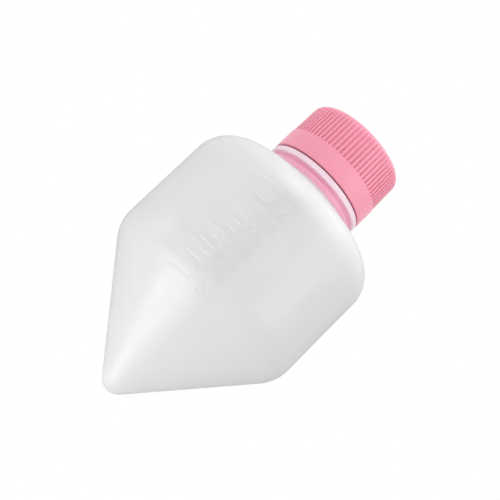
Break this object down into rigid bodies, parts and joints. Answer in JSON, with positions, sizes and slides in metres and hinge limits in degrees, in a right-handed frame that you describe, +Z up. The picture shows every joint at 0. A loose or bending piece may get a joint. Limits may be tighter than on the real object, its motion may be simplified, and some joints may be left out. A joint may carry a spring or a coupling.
{
  "type": "conical-bottom centrifuge bottle",
  "caption": "Translucent plastic bottle with a conical bottom, a raised volume scale and a knurled screw cap, for spinning down or storing liquids.",
  "frame": {"origin": "outside of the conical tip, on the bottle's axis", "axes": "+Z up the bottle's axis from the tip to the cap, -Y towards the middle of the volume scale"},
  "size_m": [0.096, 0.0963, 0.1558],
  "materials": {
    "translucent_polypropylene": "milky translucent, soft gloss",
    "pink_polyethylene": "satin",
    "natural_polyethylene": "waxy, uncoloured",
    "silicone": "soft, matt"
  },
  "bodies": {
    "bottle": {"bottle": "translucent_polypropylene"},
    "insert": {"seal_plug": "natural_polyethylene", "seal_ring": "silicone"},
    "cap": {"cap_shell": "pink_polyethylene"}
  },
  "joints": [
    {"name": "cap_rise", "type": "slide", "parent": "bottle", "child": "insert", "axis": [0, 0, 1], "range_m": [0, 0.02415]},
    {"name": "cap_turn", "type": "hinge", "parent": "insert", "child": "cap", "pos_m": [0, 0, 0.14], "axis": [0, 0, 1], "range_deg": [0, 2070]}
  ],
  "couplings": [
    {"joint": "cap_turn", "follows": "cap_rise", "rad_per_m": 1496}
  ]
}
